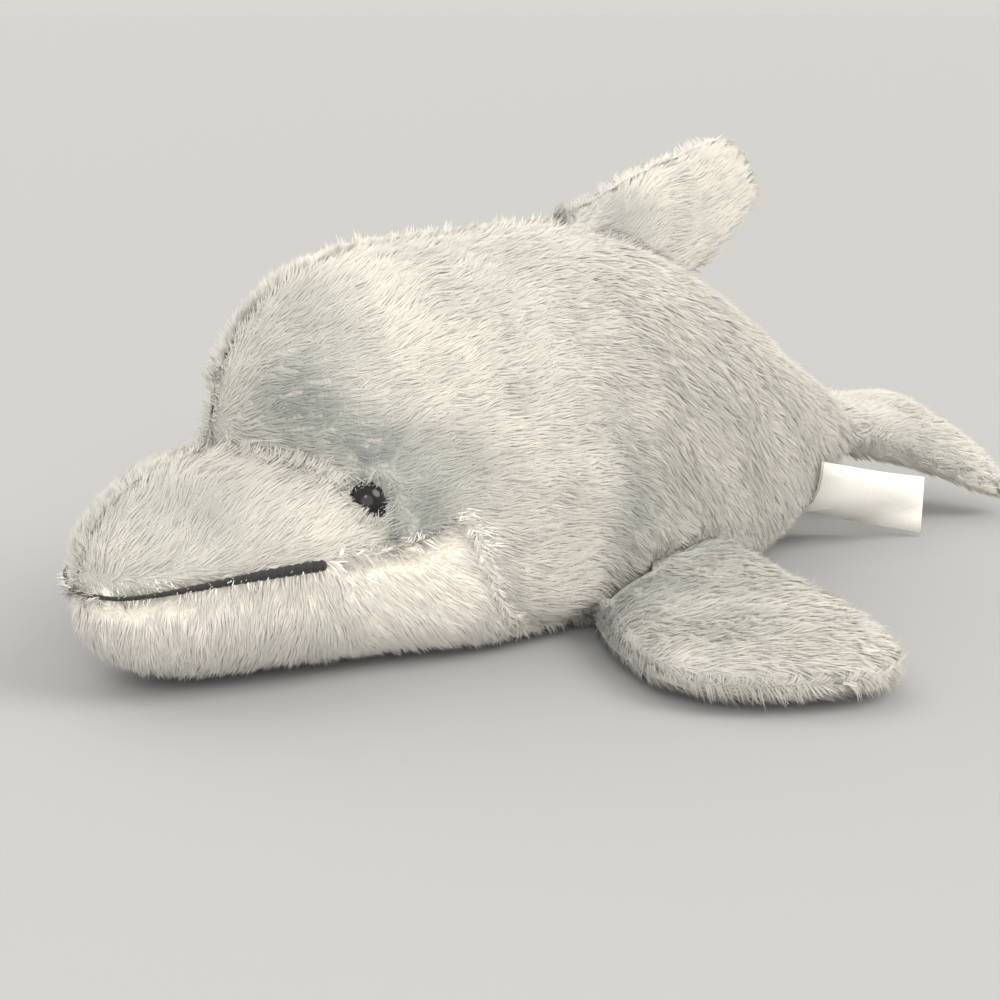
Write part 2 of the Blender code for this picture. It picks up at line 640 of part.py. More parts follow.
def main():
    """Build every piece of the dolphin."""
    for obj in list(bpy.data.objects):
        bpy.data.objects.remove(obj, do_unlink=True)
    grey = finish_colour("grey_plush", (0.52, 0.54, 0.52), 0.95)
    white = finish_colour("white_plush", (0.83, 0.81, 0.75), 0.95)
    plastic = finish_colour("eye_plastic", (0.012, 0.012, 0.014), 0.12)
    nylon = finish_colour("washer_nylon", (0.80, 0.80, 0.78), 0.5)
    thread = finish_colour("black_thread", (0.015, 0.015, 0.017), 0.6)
    satin = finish_colour("label_satin", (0.88, 0.87, 0.84), 0.4)
    fibre = finish_colour("polyester_filling", (0.90, 0.90, 0.88), 1.0)

    belly_panel(white)
    stuffing = filling(fibre)
    rows = BEAK_ROWS + TRUNK_ROWS
    skins = {}
    for word, side in (("left", 1), ("right", -1)):
        beak = upper_panel(f"beak_panel_{word}", 0, BEAK_ROWS, side, 0.0, grey)
        back = upper_panel(f"back_panel_{word}", BEAK_ROWS, rows, side, SEAM_GAP, grey)
        skins[side] = (beak, back)
        layered_fin(f"dorsal_fin_{word}", fin_point, FIN_GRID, grey, side)
        layered_fin(f"flipper_{word}_upper", flipper_point(side), FLIPPER_GRID, grey, 1)
        layered_fin(f"flipper_{word}_lower", flipper_point(side), FLIPPER_GRID, grey, -1)
        frame = eye_frame(side)
        eye(f"eye_{word}", frame, plastic)
        washer(f"eye_washer_{word}", frame, nylon)
        stem_hole = STEM_WIDTH / 2 + STEM_CLEAR
        reach = STEM_LENGTH + CUTTER_PAST
        hole = hidden_cylinder(f"stem_hole_{word}", stem_hole, CUTTER_ABOVE, -reach, frame)
        seat = hidden_cylinder(
            f"eye_seat_{word}", EYE_WIDTH / 2 + SEAM_GAP, CUTTER_ABOVE, -EYE_SEAT - SEAM_GAP, frame,
        )
        pocket = hidden_cylinder(
            f"washer_pocket_{word}", WASHER_WIDTH / 2 + SEAM_GAP, CUTTER_ABOVE,
            -WASHER_SEAT - WASHER_THICK - SEAM_GAP, frame,
        )
        press = hidden_cylinder(
            f"washer_press_{word}", WASHER_WIDTH / 2 + SEAM_GAP, -WASHER_SEAT + SEAM_GAP, -reach, frame,
        )
        for panel in skins[side]:
            cut(panel, hole)
            cut(panel, seat)
            cut(panel, press)
        cut(stuffing, hole)
        cut(stuffing, pocket)
    layered_fin("fluke_upper", fluke_point, FLUKE_GRID, grey, 1)
    layered_fin("fluke_lower", fluke_point, FLUKE_GRID, grey, -1)
    mouth_thread(thread)
    ribbon_label(satin)


main()
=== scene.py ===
"""Looks of the plush dolphin: long soft pile on sewn panels, glossy eyes, a stitched mouth and a
satin label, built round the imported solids."""

import math

import bmesh
import bpy
import numpy as np
from mathutils import Matrix, Vector
from mathutils.bvhtree import BVHTree


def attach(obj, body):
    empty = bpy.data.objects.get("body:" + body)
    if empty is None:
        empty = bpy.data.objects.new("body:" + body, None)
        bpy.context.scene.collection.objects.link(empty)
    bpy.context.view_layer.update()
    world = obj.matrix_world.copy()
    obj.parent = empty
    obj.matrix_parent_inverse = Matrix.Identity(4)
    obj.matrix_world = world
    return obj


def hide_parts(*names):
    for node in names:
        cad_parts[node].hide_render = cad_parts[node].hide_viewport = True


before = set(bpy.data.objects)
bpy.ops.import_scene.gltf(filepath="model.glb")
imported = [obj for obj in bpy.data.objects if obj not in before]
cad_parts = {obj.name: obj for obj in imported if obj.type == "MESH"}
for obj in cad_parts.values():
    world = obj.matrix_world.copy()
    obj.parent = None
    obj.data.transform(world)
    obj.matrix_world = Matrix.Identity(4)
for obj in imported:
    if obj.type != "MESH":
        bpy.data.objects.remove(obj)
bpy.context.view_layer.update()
rng = np.random.default_rng(7)

# Camera, floor and lamps
# The toy is seen from the front of its left side, a little above, as it lies on a table.
CAMERA_AT = Vector((0.4644, -0.4078, 0.1961))
CAMERA_TURN = 51.0          # degrees from a view along the body, nose first
CAMERA_DIP = 15.23          # degrees below the level
CAMERA_LENS = 64.8
FLOOR_HALF = 60.0
FLOOR_COLOUR = (0.352, 0.360, 0.369)
FLOOR_ROUGHNESS = 0.9
WALL_COLOUR = (0.694, 0.680, 0.640)
KEY_FROM = (0.60, 0.47, 0.74)
KEY_STRENGTH = 1.90
KEY_ANGLE = 34.0            # degrees that the key light spreads over
KEY_COLOUR = (1.0, 0.935, 0.835)
SOFT_ANGLE = 60.0
SOFT_COLOUR = (1.0, 0.95, 0.87)
FILL_FROM = (0.78, -0.52, 0.34)
FILL_STRENGTH = 1.40
RIM_FROM = (-0.60, -0.10, 0.70)
RIM_STRENGTH = 1.10
GLINT_AT = (0.62, -0.62, 0.75)    # a small lamp that shows in the eyes
GLINT_WATTS = 1.1
GLINT_SIZE = 0.18
SKY_COLOUR = (1.0, 0.965, 0.905)
SKY_STRENGTH = 0.98


class Wire:
    """A shader socket that Python's own arithmetic works on."""

    def __init__(self, tree, socket):
        self.tree = tree
        self.socket = socket

    def maths(self, operation, first, second=0.0):
        node = self.tree.nodes.new("ShaderNodeMath")
        node.operation = operation
        for slot, value in zip(node.inputs, (first, second)):
            if isinstance(value, Wire):
                self.tree.links.new(value.socket, slot)
            else:
                slot.default_value = value
        return Wire(self.tree, node.outputs[0])

    def __add__(self, other):
        return self.maths("ADD", self, other)

    __radd__ = __add__

    def __mul__(self, other):
        return self.maths("MULTIPLY", self, other)

    __rmul__ = __mul__


class Finish:
    """A material under construction, with its Principled shader."""

    def __init__(self, name, colour, roughness, **sockets):
        self.material = bpy.data.materials.new(name)
        self.material.use_nodes = True
        self.tree = self.material.node_tree
        self.shader = self.tree.nodes["Principled BSDF"]
        self.material.diffuse_color = (*colour, 1)
        self.feed("Base Color", (*colour, 1))
        self.feed("Roughness", roughness)
        for socket, value in sockets.items():
            self.feed(socket.replace("_", " "), value)

    def feed(self, socket, value):
        """Set or link one of the shader's sockets."""
        if isinstance(value, Wire):
            self.tree.links.new(value.socket, self.shader.inputs[socket])
        else:
            self.shader.inputs[socket].default_value = value

    def node(self, kind, settings=None, output=0, **inputs):
        """Any other node, from its type, its settings and its sockets' values or links.

        A socket is given by its name, or as n and its number where names repeat."""
        made = self.tree.nodes.new("ShaderNode" + kind)
        for key, value in (settings or {}).items():
            setattr(made, key, value)
        for key, value in inputs.items():
            slot = made.inputs[int(key[1:]) if key[1:].isdigit() else key.replace("_", " ")]
            if isinstance(value, Wire):
                self.tree.links.new(value.socket, slot)
            else:
                slot.default_value = value
        return Wire(self.tree, made.outputs[output])

    def places(self):
        """Object coordinates in metres."""
        return self.node("TexCoord", output=3)

    def noise(self, scale, detail=3.0, roughness=0.5):
        """Noise on the piece's Object coordinates."""
        return self.node("TexNoise", Vector=self.places(), Scale=scale, Detail=detail, Roughness=roughness)

    def mix(self, share, first, second):
        """Colour between two colours."""
        return self.node(
            "Mix", {"data_type": "RGBA", "clamp_factor": True}, output=2, n0=share, n6=first, n7=second
        )

    def bump(self, height, distance):
        self.feed("Normal", self.node("Bump", Distance=distance, Height=height))


def link(name, mesh, finish=None, smooth=True):
    """Put a mesh into the scene as a piece."""
    piece = bpy.data.objects.new(name, mesh)
    bpy.context.scene.collection.objects.link(piece)
    if smooth:
        mesh.shade_smooth()
    if finish:
        mesh.materials.clear()
        mesh.materials.append(finish.material)
    return piece


def from_bmesh(name, bm, finish=None, smooth=True):
    mesh = bpy.data.meshes.new(name)
    bm.to_mesh(mesh)
    bm.free()
    return link(name, mesh, finish, smooth)


def view_frame(turn, dip):
    """Rotation of a camera that looks along +Y turned by an angle, and down by another."""
    return Matrix.Rotation(math.radians(turn), 4, "Z") @ Matrix.Rotation(math.radians(90 - dip), 4, "X")


camera_data = bpy.data.cameras.new("camera")
camera_data.lens = CAMERA_LENS
camera_data.clip_start = 0.01
camera = bpy.data.objects.new("camera", camera_data)
camera.matrix_world = Matrix.Translation(CAMERA_AT) @ view_frame(CAMERA_TURN, CAMERA_DIP)
bpy.context.scene.collection.objects.link(camera)
bpy.context.scene.camera = camera
bpy.context.scene.view_settings.view_transform = "Standard"

floor_finish = Finish("pale_floor", FLOOR_COLOUR, FLOOR_ROUGHNESS, Specular_IOR_Level=0.2)
bm = bmesh.new()
bmesh.ops.create_grid(bm, x_segments=2, y_segments=2, size=FLOOR_HALF)
floor = from_bmesh("floor", bm, floor_finish, smooth=False)

for name, way, strength, angle, colour in (
    ("key_lamp", KEY_FROM, KEY_STRENGTH, KEY_ANGLE, KEY_COLOUR),
    ("fill_lamp", FILL_FROM, FILL_STRENGTH, SOFT_ANGLE, SOFT_COLOUR),
    ("rim_lamp", RIM_FROM, RIM_STRENGTH, SOFT_ANGLE, SOFT_COLOUR),
):
    lamp_data = bpy.data.lights.new(name, "SUN")
    lamp_data.angle = math.radians(angle)
    lamp_data.energy = strength
    lamp_data.color = colour
    lamp = bpy.data.objects.new(name, lamp_data)
    lamp.rotation_euler = Vector(way).to_track_quat("Z", "Y").to_euler()
    bpy.context.scene.collection.objects.link(lamp)

glint_data = bpy.data.lights.new("glint_lamp", "AREA")
glint_data.size = GLINT_SIZE
glint_data.energy = GLINT_WATTS
glint = bpy.data.objects.new("glint_lamp", glint_data)
glint.location = GLINT_AT
glint.rotation_euler = Vector(GLINT_AT).to_track_quat("Z", "Y").to_euler()
bpy.context.scene.collection.objects.link(glint)

world = bpy.data.worlds.new("studio")
bpy.context.scene.world = world
world.use_nodes = True
sky = world.node_tree.nodes["Background"]
sky.inputs["Color"].default_value = (*SKY_COLOUR, 1)
sky.inputs["Strength"].default_value = SKY_STRENGTH
backdrop = world.node_tree.nodes.new("ShaderNodeBackground")
backdrop.inputs["Color"].default_value = (*WALL_COLOUR, 1)
paths = world.node_tree.nodes.new("ShaderNodeLightPath")
pick = world.node_tree.nodes.new("ShaderNodeMixShader")
world.node_tree.links.new(paths.outputs["Is Camera Ray"], pick.inputs[0])
world.node_tree.links.new(sky.outputs[0], pick.inputs[1])
world.node_tree.links.new(backdrop.outputs[0], pick.inputs[2])
world.node_tree.links.new(pick.outputs[0], world.node_tree.nodes["World Output"].inputs[0])

# Filling and eye washers
# Polyester fibre fills the sewn skin, and a nylon washer locks each eye's stem inside the cloth.
# Neither is seen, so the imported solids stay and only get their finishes.
FIBRE_COLOUR = (0.90, 0.90, 0.88)
NYLON_COLOUR = (0.80, 0.80, 0.77)


def node_object(name):
    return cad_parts[name]


fibre = Finish("polyester_fibre", FIBRE_COLOUR, 1.0)
tangle = fibre.noise(420, detail=6, roughness=0.7)
fibre.feed("Base Color", fibre.mix(tangle, (0.78, 0.78, 0.77, 1), (0.95, 0.95, 0.94, 1)))
fibre.bump(tangle, 0.002)
nylon = Finish("washer_nylon", NYLON_COLOUR, 0.45, Subsurface_Weight=0.1)
flow = nylon.noise(160)
nylon.feed("Roughness", 0.38 + flow * 0.15)
nylon.feed("Base Color", nylon.mix(flow, (0.76, 0.76, 0.73, 1), (0.83, 0.83, 0.81, 1)))
for node, finish in (("filling", fibre), ("eye_washer_left", nylon), ("eye_washer_right", nylon)):
    node_object(node).data.materials.clear()
    node_object(node).data.materials.append(finish.material)

# Plush skins
# Each cut panel is a knitted backing with a long pile. The skins are the backing: smooth, drawn in
# at the seams and slightly sunk, so that the tips of the pile reach the form of the sewn toy.
PILE_ROOM = 0.0017          # the backing lies this far under the solid's surface
VERTEX_MERGE = 0.00002
FLAT_ANGLE = 30.0           # triangles that meet flatter than this are paired
SKEW_ANGLE = 50.0           # where the quad that they make is no more skewed than this
SKIN_LEVELS = 1
EDGE_ANGLE = 48.0           # edges sharper than this are the cut edges of a panel
BODY_OUTER = 0.0024         # a body panel's outer side is farther than this from the filling
FIN_OUTER = 0.0009          # and a fin layer's outer side is farther than this from its other layer
SEAM_HOLD = 0.0005          # cut edges nearer than this to the next panel meet it
ROOT_HOLD = 0.0030          # and a fin's root reaches the body from this far

GREY = "grey_plush"
WHITE = "white_plush"
BODY_PANELS = {
    "belly_panel": WHITE,
    "back_panel_left": GREY,
    "back_panel_right": GREY,
    "beak_panel_left": GREY,
    "beak_panel_right": GREY,
}
FIN_LAYERS = {
    "dorsal_fin_left": "dorsal_fin_right",
    "flipper_left_upper": "flipper_left_lower",
    "flipper_right_upper": "flipper_right_lower",
    "fluke_upper": "fluke_lower",
}
FIN_LAYERS.update({lower: upper for upper, lower in FIN_LAYERS.items()})

backing = {}
for kind, dark, pale in (
    (GREY, (0.45, 0.455, 0.435, 1), (0.54, 0.535, 0.505, 1)),
    (WHITE, (0.80, 0.74, 0.65, 1), (0.90, 0.87, 0.80, 1)),
):
    backing[kind] = Finish(kind.replace("plush", "backing"), pale[:3], 0.95, Sheen_Weight=0.3)
    knit = backing[kind].noise(900, detail=4)
    backing[kind].feed("Base Color", backing[kind].mix(knit, dark, pale))
    backing[kind].bump(knit, 0.001)


def merged_copy(node):
    """bmesh of a node with its loose triangles merged, and paired into quads where they are flat."""
    bm = bmesh.new()
    bm.from_mesh(node_object(node).data)
    bmesh.ops.remove_doubles(bm, verts=bm.verts, dist=VERTEX_MERGE)
    bmesh.ops.join_triangles(
        bm,
        faces=bm.faces,
        angle_face_threshold=math.radians(FLAT_ANGLE),
        angle_shape_threshold=math.radians(SKEW_ANGLE),
    )
    return bm


def evaluated_mesh(piece):
    """Mesh of a piece with its modifiers applied."""
    graph = bpy.context.evaluated_depsgraph_get()
    return bpy.data.meshes.new_from_object(piece.evaluated_get(graph))


def tree_of(*names):
    """Search tree over the solids of some nodes."""
    verts, faces = [], []
    for name in names:
        mesh = node_object(name).data
        faces += [[index + len(verts) for index in face.vertices] for face in mesh.polygons]
        verts += [vert.co for vert in mesh.vertices]
    return BVHTree.FromPolygons(verts, faces)


def plush_skin(node, kind, under, outer):
    """The backing of one panel: the node's form made smooth, its outer side sunk, its seams closed."""
    others = tree_of(*(other for other in BODY_PANELS if other != node))
    hold = SEAM_HOLD if node in BODY_PANELS else ROOT_HOLD
    bm = merged_copy(node)
    crease = bm.edges.layers.float.new("crease_edge")
    for edge in bm.edges:
        sewn = (
            node in BODY_PANELS
            or all(under.find_nearest(vert.co)[3] < FIN_OUTER for vert in edge.verts)
            or all(others.find_nearest(vert.co)[3] < ROOT_HOLD for vert in edge.verts)
        )
        edge[crease] = float(sewn and edge.calc_face_angle(0.0) > math.radians(EDGE_ANGLE))
    piece = from_bmesh(node.replace("panel", "plush") + "_skin", bm)
    round_off = piece.modifiers.new("round_off", "SUBSURF")
    round_off.levels = round_off.render_levels = SKIN_LEVELS
    mesh = evaluated_mesh(piece)
    piece.modifiers.clear()
    piece.data = mesh
    mesh.shade_smooth()
    normals = [vert.normal.copy() for vert in mesh.vertices]
    for vert, normal in zip(mesh.vertices, normals):
        spot, _, _, away = under.find_nearest(vert.co)
        if away > outer:
            inward = (spot - vert.co).normalized() if node in BODY_PANELS else -normal
            vert.co += inward * PILE_ROOM
        spot, _, _, away = others.find_nearest(vert.co)
        if away < hold:
            vert.co += (spot - vert.co).normalized() * (away + hold / 2)
    mesh.materials.clear()
    mesh.materials.append(backing[kind].material)
    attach(piece, "root")
    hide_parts(node)
    return piece


filling_tree = tree_of("filling")
skins = {}
for node, kind in BODY_PANELS.items():
    skins[node] = plush_skin(node, kind, filling_tree, BODY_OUTER)
for node, other in FIN_LAYERS.items():
    skins[node] = plush_skin(node, GREY, tree_of(other), FIN_OUTER)

# Pile
# The pile is long, soft and tapering, a little darker at the roots: partly the frosted tipping of the
# cloth, partly painted shade at the base of the pile. It lies along the nap, leans over the seams so
# that they hardly show, and its tips gather into small locks.
PILE_LENGTH = 0.0062
LENGTH_SPREAD = 0.14        # how much the tufts differ in length, as a share
PILE_WIDTH = 0.00037        # half the width of a tuft at its root
PILE_FLATNESS = 0.30        # thickness of a tuft, as a share of its width
PILE_EVENNESS = 0.38        # how much of a tuft's shading follows the cloth and not its own form
PILE_LIFT = 21.0            # degrees that a tuft stands off the cloth
SEAM_REACH = 0.0034         # tufts rooted this near a seam lean over it
SEAM_LIFT = 5.0             # and stand off the cloth by this much more
LIFT_LIMITS = (8, 70)
LIFT_SPREAD = (3.0, 4.0, 3.5)     # degrees that the lift differs by lock, by region and by tuft
TURN_SPREAD = (0.17, 0.30, 0.09)  # and the nap's direction, in radians
ROOT_DEPTH = 0.0004         # a tuft's root lies this deep in the backing
LOCK_SPACING = 0.0038       # size of the cells whose tufts gather into a lock
LOCK_PULL = 0.30            # share of the way that a tip is drawn to the tip of its lock
CELL_MAP = "OFBake"         # the UV map that gives each tuft a cell of its own
DENSITY = 1.42e6            # tufts for each square metre
UNDERSIDE = 0.15            # share of the tufts where the belly presses on the table
PRESSED_HEIGHT = 0.0035     # and the cloth under this height is pressed
SEAM_WALL = 0.0012          # a skin's edge that faces the next panel from nearer than this has no pile
SEAM_CROWD = 0.5            # pile stands denser at the seams by this share
EDGE_TURN = (0.002, 0.008)  # the nap's lie is turned from a seam's edge wall within these distances
LOCK_SHADE = 0.03           # how much the locks, and then the tufts, differ in brightness
TUFT_SHADE = 0.02
REAR_PALENESS = 0.30        # the pile is paler towards the tail by this share

# Linear colours of the pile: at the root, at the tip, and at the tip where it is warm and pale.
# The roots are a little darker, partly the frosted tipping of the cloth and partly painted shade at
# the base of the pile, warm brown on the white. The cool grey row is the dark cool grey of painted
# shade, and of the fins' own cooler tone.
PILE_COLOURS = {
    GREY: ((0.56, 0.555, 0.525), (0.58, 0.573, 0.54), (0.74, 0.72, 0.67)),
    "cool_shade_and_tone": ((0.27, 0.295, 0.295), (0.31, 0.33, 0.325), (0.40, 0.415, 0.40)),
    WHITE: ((0.94, 0.895, 0.82), (0.97, 0.95, 0.90), (0.985, 0.975, 0.94)),
}
# Painted shade: spots where the pile takes the dark cool grey, in the crease between melon and
# beak, round the eyes, at the roots of the dorsal fin and flippers and in a few other places, on
# both sides: centre, size and strength
PAINTED_SHADE_SPOTS = (
    ((0.022, -0.128, 0.082), (0.017, 0.014, 0.015), 0.95),
    ((0.036, -0.112, 0.071), (0.015, 0.013, 0.011), 1.00),
    ((0.045, -0.103, 0.046), (0.012, 0.009, 0.011), 1.00),
    ((0.060, -0.028, 0.040), (0.014, 0.010, 0.026), 0.90),
    ((0.014, -0.122, 0.106), (0.022, 0.018, 0.016), 0.50),
    ((0.018, -0.172, 0.058), (0.026, 0.030, 0.020), 0.55),
    ((0.006, 0.012, 0.126), (0.014, 0.016, 0.008), 0.75),
    ((0.000, 0.080, 0.100), (0.014, 0.040, 0.012), 0.20),
    ((0.048, -0.092, 0.060), (0.016, 0.014, 0.014), 0.60),
)

pile_finish = {}
for kind in (GREY, WHITE):
    finish = Finish(
        kind.replace("plush", "pile"),
        PILE_COLOURS[kind][1],
        0.9,
        Sheen_Weight=0.35,
        Sheen_Roughness=0.5,
        Specular_IOR_Level=0.12,
    )
    finish.feed("Base Color", finish.node("VertexColor", {"layer_name": "pile_tint"}))
    pile_finish[kind] = finish


def triangles_of(mesh):
    """Corner positions and corner normals of a mesh's triangles, as arrays."""
    mesh.calc_loop_triangles()
    count = len(mesh.vertices)
    places = np.empty(count * 3)
    mesh.vertices.foreach_get("co", places)
    normals = np.empty(count * 3)
    mesh.vertex_normals.foreach_get("vector", normals)
    corners = np.empty(len(mesh.loop_triangles) * 3, dtype=int)
    mesh.loop_triangles.foreach_get("vertices", corners)
    corners = corners.reshape(-1, 3)
    return places.reshape(-1, 3)[corners], normals.reshape(-1, 3)[corners]


def unit(vectors):
    return vectors / np.maximum(np.linalg.norm(vectors, axis=-1, keepdims=True), 1e-9)


def waves(places, size, seed):
    """Smooth noise of about -1 to 1, from a few crossed waves of a size in metres."""
    draw = np.random.default_rng(seed)
    total = np.zeros(len(places))
    for _ in range(6):
        way = unit(draw.normal(size=3)) * 2 * math.pi / (size * draw.uniform(0.7, 1.5))
        total += np.sin(places @ way + draw.uniform(0, 2 * math.pi))
    return total / 3.2


def smooth_step(value, low, high):
    share = np.clip((value - low) / (high - low), 0, 1)
    return share * share * (3 - 2 * share)


def nearest(tree, places):
    """For each place, the way to the nearest point of a tree, and how far it is."""
    ways = np.array([tree.find_nearest(Vector(place))[0] for place in places]) - places
    return unit(ways), np.linalg.norm(ways, axis=1)


def scatter(piece, under, neighbours):
    """Random roots on the side of a skin that faces away from what is under it, and their normals."""
    corners, normals = triangles_of(piece.data)
    centres = corners.mean(axis=1)
    facing = np.cross(corners[:, 1] - corners[:, 0], corners[:, 2] - corners[:, 0])
    areas = np.linalg.norm(facing, axis=1) / 2
    facing = unit(facing)
    ways, gaps = nearest(under, centres)
    share = ((gaps > ROOT_DEPTH) & (np.sum(ways * facing, axis=1) < 0.2)).astype(float)
    ways, gaps = nearest(neighbours, centres)
    share[(gaps < SEAM_WALL) & (np.sum(ways * facing, axis=1) > 0.7)] = 0
    share[(centres[:, 2] < PRESSED_HEIGHT) & (facing[:, 2] < -0.8)] *= UNDERSIDE
    share *= 1 + SEAM_CROWD * (1 - smooth_step(gaps, 0.001, SEAM_REACH))
    weights = areas * share
    chosen = rng.choice(len(areas), size=int(weights.sum() * DENSITY), p=weights / weights.sum())
    spots = rng.random((len(chosen), 2))
    flip = spots.sum(axis=1) > 1
    spots[flip] = 1 - spots[flip]
    mix = np.stack([1 - spots.sum(axis=1), spots[:, 0], spots[:, 1]], axis=1)
    roots = np.einsum("ij,ijk->ik", mix, corners[chosen])
    lie = unit(np.einsum("ij,ijk->ik", mix, normals[chosen]))
    ways, gaps = nearest(neighbours, roots)
    tilt = np.maximum(np.sum(lie * ways, axis=1), 0) * (1 - smooth_step(gaps, *EDGE_TURN))
    return roots, unit(lie - ways * tilt[:, None])


def locks_of(places):
    """For each root, the index of the root at the middle of its lock."""
    cells = np.floor(places / LOCK_SPACING).astype(int)
    cells -= cells.min(axis=0) - 1
    shape = cells.max(axis=0) + 2
    lead_cells, leads = np.unique(np.ravel_multi_index(cells.T, shape), return_index=True)
    lead_of = np.full(shape.prod(), -1)
    lead_of[lead_cells] = leads
    lock, best = np.arange(len(places)), np.full(len(places), np.inf)
    for step in np.ndindex(3, 3, 3):
        lead = lead_of[np.ravel_multi_index((cells + np.array(step) - 1).T, shape)]
        away = np.where(lead >= 0, np.linalg.norm(places - places[lead], axis=1), np.inf)
        closer = away < best
        lock[closer], best[closer] = lead[closer], away[closer]
    return lock


def tuft_template():
    """One tapering tuft of unit size, standing on its root."""
    bm = bmesh.new()
    bmesh.ops.create_cone(bm, cap_ends=True, segments=3, radius1=1, radius2=0, depth=1)
    bmesh.ops.translate(bm, verts=bm.verts, vec=(0, 0, 0.5))
    bmesh.ops.remove_doubles(bm, verts=bm.verts, dist=0.001)
    bm.verts.ensure_lookup_table()
    places = np.array([vert.co for vert in bm.verts])
    faces = np.array([[vert.index for vert in face.verts] for face in bm.faces])
    bm.free()
    return places, faces


TUFT_PLACES, TUFT_FACES = tuft_template()


def shade_and_tone_share(roots):
    """Share of the dark cool grey at each root: painted shade from the shaded spots on both sides, and a
    little random tone.
    """
    total = np.zeros(len(roots))
    mirrored = np.abs(roots * [1, 0, 0]) + roots * [0, 1, 1]
    for centre, size, strength in PAINTED_SHADE_SPOTS:
        total += strength * np.exp(-np.sum(((mirrored - centre) / size) ** 2, axis=1))
    return total + 0.10 * waves(roots, 0.022, 9)


def pile(name, kind, roots, lie, guide, neighbours, cool_shade_and_tone=0.0, lean=1.0, rise=0.0, stretch=1.0, blend=0.0):
    """Tufts on given roots, combed along a guide direction, as one piece.

    Each tuft may take more of the dark cool grey of painted shade and of the fins' cooler tone, lean less
    over the seam, rise or reach more, and take the other colour."""
    count = len(roots)
    locks = locks_of(roots)
    ways, gaps = nearest(neighbours, roots)
    near = (lean * (1 - smooth_step(gaps, 0.0008, SEAM_REACH)))[:, None]
    guide = unit(guide) * (1 - 0.6 * near) + ways * near
    along = unit(guide - lie * np.sum(guide * lie, axis=1, keepdims=True))
    by_lock, by_region, by_tuft = TURN_SPREAD
    turn = by_lock * rng.normal(size=count)[locks] + by_region * waves(roots, 0.030, 3)
    turn = turn + by_tuft * rng.normal(size=count)
    along = along * np.cos(turn)[:, None] + np.cross(lie, along) * np.sin(turn)[:, None]
    by_lock, by_region, by_tuft = LIFT_SPREAD
    lift = PILE_LIFT + by_lock * rng.normal(size=count)[locks] + by_region * waves(roots, 0.045, 5)
    lift = lift + by_tuft * rng.normal(size=count)
    lift = np.radians(np.clip((lift + rise)[:, None] + SEAM_LIFT * near, *LIFT_LIMITS))
    reach = PILE_LENGTH * np.clip(rng.normal(1.0, LENGTH_SPREAD, count), 0.6, 1.4)[:, None]
    reach = reach * (np.ones(count) * stretch)[:, None]
    tips = roots + (along * np.cos(lift) + lie * np.sin(lift)) * reach
    tips += (tips[locks] - tips) * LOCK_PULL * rng.uniform(0.4, 1.0, (count, 1))
    tips[:, 2] = np.maximum(tips[:, 2], 0.0002)
    reach = np.linalg.norm(tips - roots, axis=1, keepdims=True)
    axis = unit(tips - roots)
    across = unit(np.cross(lie, axis))
    outward = np.cross(axis, across)
    width = PILE_WIDTH * rng.uniform(0.8, 1.25, (count, 1))
    x, y, z = (TUFT_PLACES[:, k][None, :, None] for k in range(3))
    places = (roots - lie * ROOT_DEPTH)[:, None] + x * (across * width)[:, None]
    places = places + y * (outward * PILE_FLATNESS * width)[:, None] + z * (axis * reach)[:, None]
    places[:, :, 2] = np.maximum(places[:, :, 2], 0.0001)
    corners = len(TUFT_PLACES)
    faces = TUFT_FACES[None] + (np.arange(count) * corners)[:, None, None]
    mesh = bpy.data.meshes.new(name)
    mesh.from_pydata(places.reshape(-1, 3), [], faces.reshape(-1, TUFT_FACES.shape[1]).tolist())
    tint_tufts(mesh, kind, roots, locks, np.clip(shade_and_tone_share(roots) + cool_shade_and_tone, 0, 1)[:, None], near, blend)
    cell_map(mesh, count)
    piece = link(name, mesh, pile_finish[kind])
    spokes = x * across[:, None] + y * outward[:, None] + z * 0.7 * axis[:, None]
    soft = unit(lie[:, None] * PILE_EVENNESS + spokes * (1 - PILE_EVENNESS))
    mesh.normals_split_custom_set_from_vertices(soft.reshape(-1, 3))
    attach(piece, "root")
    return piece


def tint_tufts(mesh, kind, roots, locks, cool_shade_and_tone, near, blend):
    """Colour each tuft from its root to its tip; near a seam some take the colour past it."""
    count = len(roots)
    paleness = 0.5 + 0.35 * waves(roots, 0.050, 11) + 0.25 * waves(roots, 0.016, 12)
    paleness += REAR_PALENESS * smooth_step(roots[:, 1], -0.04, 0.05)
    # Painted highlight: the pile is paler near a seam and round a fin's rim, where the tips catch the
    # light
    paleness = np.clip(paleness[:, None] + 0.35 * near, 0, 1)
    swapped = (rng.random(count)[locks] * 0.6 + rng.random(count) * 0.4 < blend)[:, None]
    white = swapped if kind == GREY else ~swapped
    root, tip, pale = (
        np.where(white, bright, np.array(warm) * (1 - cool_shade_and_tone) + np.array(shaded_cool) * cool_shade_and_tone)
        for warm, shaded_cool, bright in zip(PILE_COLOURS[GREY], PILE_COLOURS["cool_shade_and_tone"], PILE_COLOURS[WHITE])
    )
    shade = 1 + LOCK_SHADE * rng.normal(size=count)[locks] + TUFT_SHADE * rng.normal(size=count)
    shade = shade[:, None]
    tips = (tip * (1 - paleness) + pale * paleness) * shade
    # Painted shade at the roots, together with the frosted tipping of the cloth: each tuft darkens from
    # its tip to its root, and more where the pile is less pale
    bases = root * (0.92 + 0.16 * paleness) * shade
    z = TUFT_PLACES[:, 2][None, :, None]
    tint = np.ones((count, len(TUFT_PLACES), 4))
    tint[:, :, :3] = np.clip(bases[:, None] * (1 - z) + tips[:, None] * z, 0, 1)
    mesh.color_attributes.new("pile_tint", "FLOAT_COLOR", "POINT").data.foreach_set("color", tint.ravel())


